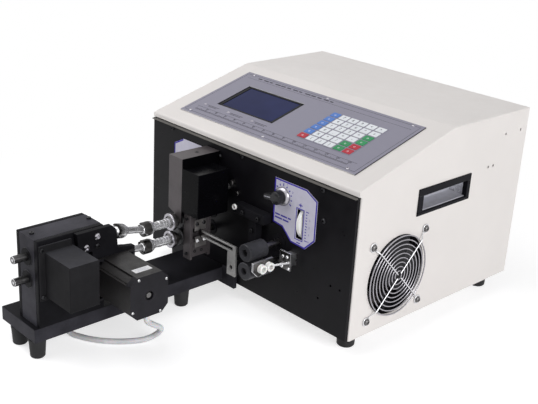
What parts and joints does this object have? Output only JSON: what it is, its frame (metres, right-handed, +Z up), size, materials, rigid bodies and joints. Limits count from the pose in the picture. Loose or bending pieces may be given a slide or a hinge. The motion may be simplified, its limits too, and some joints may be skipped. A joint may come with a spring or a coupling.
{
  "type": "wire cutting stripping machine",
  "caption": "Bench machine that cuts wire to length and strips it: sloped control housing, feed rollers, blade head and a front drive unit with jointed shafts.",
  "frame": {"origin": "on the table, below the middle of the outline", "axes": "+X to the right along the front, +Y to the back, +Z up"},
  "size_m": [0.419, 0.682, 0.282],
  "materials": {
    "cream_paint": "satin powder coat",
    "black_panel": "satin",
    "rubber_black": "matte",
    "plate_grey": "printed satin",
    "display_blue": "gloss",
    "key_film": "satin",
    "fan_black": "matte",
    "chrome_wire": "polished",
    "handle_black": "matte",
    "inlet_black": "satin",
    "rocker_red": "gloss",
    "bright_steel": "turned",
    "dark_steel": "blackened, knurled",
    "head_grey": "ground",
    "blade_steel": "ground",
    "cover_black": "gloss",
    "motor_black": "satin",
    "label_pale": "printed film",
    "knob_black": "gloss",
    "nylon_white": "satin",
    "anodised_black": "satin anodised",
    "zinc": "folded sheet",
    "screw_steel": "polished",
    "sleeve_grey": "translucent"
  },
  "bodies": {
    "machine": {"base_tray": "cream_paint", "cover": "cream_paint", "rear_panel": "cream_paint", "front_panel": "black_panel", "housing_feet": "rubber_black", "control_plate": "plate_grey", "lcd_module": "display_blue", "keypad": "key_film", "fan_frame": "fan_black", "fan_guard": "chrome_wire", "handle_cups": "handle_black", "power_inlet": "inlet_black", "power_supply": "zinc", "feed_motor": "motor_black", "motor_posts": "bright_steel", "bearings": "bright_steel", "head_body": "head_grey", "guide_block": "head_grey", "head_cover": "cover_black", "blade_motor": "motor_black", "adjust_plates": "label_pale", "guide_fork": "bright_steel", "guide_arm": "anodised_black", "inlet_bracket": "bright_steel", "guide_bush_front": "nylon_white", "guide_bush_rear": "nylon_white", "drive_base": "anodised_black", "drive_feet": "rubber_black", "gearbox_core": "anodised_black", "gearbox_sides": "anodised_black", "motor_plate": "anodised_black", "drive_motor": "motor_black", "cube_cover": "cover_black", "screws": "screw_steel", "motor_cable": "sleeve_grey"},
    "fan": {"fan_impeller": "fan_black"},
    "rocker": {"switch_rocker": "rocker_red"},
    "feed_motor_shaft": {"feed_pinion": "bright_steel"},
    "inlet_lower": {"inlet_lower_shaft": "bright_steel", "inlet_lower_roller": "dark_steel"},
    "inlet_upper": {"inlet_upper_shaft": "bright_steel", "inlet_upper_roller": "dark_steel"},
    "outlet_lower": {"outlet_lower_shaft": "bright_steel", "outlet_lower_roller": "dark_steel"},
    "outlet_upper": {"outlet_upper_shaft": "bright_steel", "outlet_upper_roller": "dark_steel"},
    "upper_knife": {"upper_carrier": "head_grey", "upper_blade": "blade_steel"},
    "lower_knife": {"lower_carrier": "head_grey", "lower_blade": "blade_steel"},
    "blade_motor_shaft": {"blade_pinion": "bright_steel"},
    "knob_right": {"right_knob": "knob_black"},
    "knob_left": {"left_knob": "knob_black"},
    "wheel_right": {"right_thumbwheel": "nylon_white"},
    "wheel_left": {"left_thumbwheel": "nylon_white"},
    "worm": {"drive_worm": "bright_steel"},
    "drive_lower": {"drive_lower_shaft": "bright_steel"},
    "drive_upper": {"drive_upper_shaft": "bright_steel"},
    "link_lower": {"lower_link": "bright_steel"},
    "link_upper": {"upper_link": "bright_steel"}
  },
  "joints": [
    {"name": "fan_spin", "type": "hinge", "parent": "machine", "child": "fan", "pos_m": [0.202, 0.068, 0.097], "axis": [1, 0, 0], "continuous": true},
    {"name": "rocker_tilt", "type": "hinge", "parent": "machine", "child": "rocker", "pos_m": [0.127, 0.334, 0.089], "axis": [1, 0, 0], "range_deg": [-12, 12]},
    {"name": "inlet_lower_spin", "type": "hinge", "parent": "machine", "child": "inlet_lower", "pos_m": [0.0715, -0.066, 0.09375], "axis": [0, 1, 0], "continuous": true},
    {"name": "inlet_upper_spin", "type": "hinge", "parent": "machine", "child": "inlet_upper", "pos_m": [0.0715, -0.066, 0.11975], "axis": [0, 1, 0], "continuous": true},
    {"name": "feed_motor_spin", "type": "hinge", "parent": "machine", "child": "feed_motor_shaft", "pos_m": [0.0715, 0, 0.06975], "axis": [0, 1, 0], "continuous": true},
    {"name": "drive_lower_spin", "type": "hinge", "parent": "machine", "child": "drive_lower", "pos_m": [-0.0575, -0.321, 0.1035], "axis": [0, 1, 0], "continuous": true},
    {"name": "drive_upper_spin", "type": "hinge", "parent": "machine", "child": "drive_upper", "pos_m": [-0.0575, -0.321, 0.1335], "axis": [0, 1, 0], "continuous": true},
    {"name": "drive_motor_spin", "type": "hinge", "parent": "machine", "child": "worm", "pos_m": [-0.0575, -0.217, 0.092], "axis": [1, 0, 0], "continuous": true},
    {"name": "link_lower_spin", "type": "hinge", "parent": "machine", "child": "link_lower", "pos_m": [-0.0575, -0.19, 0.1035], "axis": [-0.1833, 0.9649, -0.1882], "continuous": true},
    {"name": "link_upper_spin", "type": "hinge", "parent": "machine", "child": "link_upper", "pos_m": [-0.0575, -0.19, 0.1335], "axis": [-0.1802, 0.9484, -0.2608], "continuous": true},
    {"name": "outlet_lower_spin", "type": "hinge", "parent": "machine", "child": "outlet_lower", "pos_m": [-0.067, -0.066, 0.09375], "axis": [0, 1, 0], "continuous": true},
    {"name": "outlet_upper_spin", "type": "hinge", "parent": "machine", "child": "outlet_upper", "pos_m": [-0.067, -0.066, 0.11975], "axis": [0, 1, 0], "continuous": true},
    {"name": "upper_knife_slide", "type": "slide", "parent": "machine", "child": "upper_knife", "axis": [0, 0, 1], "range_m": [-0.006, 0]},
    {"name": "lower_knife_slide", "type": "slide", "parent": "machine", "child": "lower_knife", "axis": [0, 0, 1], "range_m": [0, 0.006]},
    {"name": "blade_motor_spin", "type": "hinge", "parent": "machine", "child": "blade_motor_shaft", "pos_m": [-0.034, -0.066, 0.166], "axis": [0, 1, 0], "range_deg": [-58, 1]},
    {"name": "knob_right_turn", "type": "hinge", "parent": "machine", "child": "knob_right", "pos_m": [0.074, -0.02, 0.186], "axis": [0, 1, 0], "range_deg": [-120, 120]},
    {"name": "knob_left_turn", "type": "hinge", "parent": "machine", "child": "knob_left", "pos_m": [-0.1, -0.02, 0.186], "axis": [0, 1, 0], "range_deg": [-120, 120]},
    {"name": "wheel_right_turn", "type": "hinge", "parent": "machine", "child": "wheel_right", "pos_m": [0.107, 0, 0.157], "axis": [1, 0, 0], "range_deg": [-150, 150]},
    {"name": "wheel_left_turn", "type": "hinge", "parent": "machine", "child": "wheel_left", "pos_m": [-0.1262, 0, 0.157], "axis": [1, 0, 0], "range_deg": [-150, 150]}
  ],
  "couplings": [
    {"joint": "inlet_upper_spin", "follows": "inlet_lower_spin", "ratio": -1},
    {"joint": "feed_motor_spin", "follows": "inlet_lower_spin", "ratio": -2},
    {"joint": "drive_upper_spin", "follows": "drive_lower_spin", "ratio": -1},
    {"joint": "drive_motor_spin", "follows": "drive_lower_spin", "ratio": 4},
    {"joint": "link_lower_spin", "follows": "drive_lower_spin", "ratio": 1},
    {"joint": "link_upper_spin", "follows": "drive_lower_spin", "ratio": -1},
    {"joint": "outlet_lower_spin", "follows": "drive_lower_spin", "ratio": 1},
    {"joint": "outlet_upper_spin", "follows": "drive_lower_spin", "ratio": -1},
    {"joint": "lower_knife_slide", "follows": "upper_knife_slide", "ratio": -1},
    {"joint": "blade_motor_spin", "follows": "upper_knife_slide", "rad_per_m": 166.67}
  ]
}
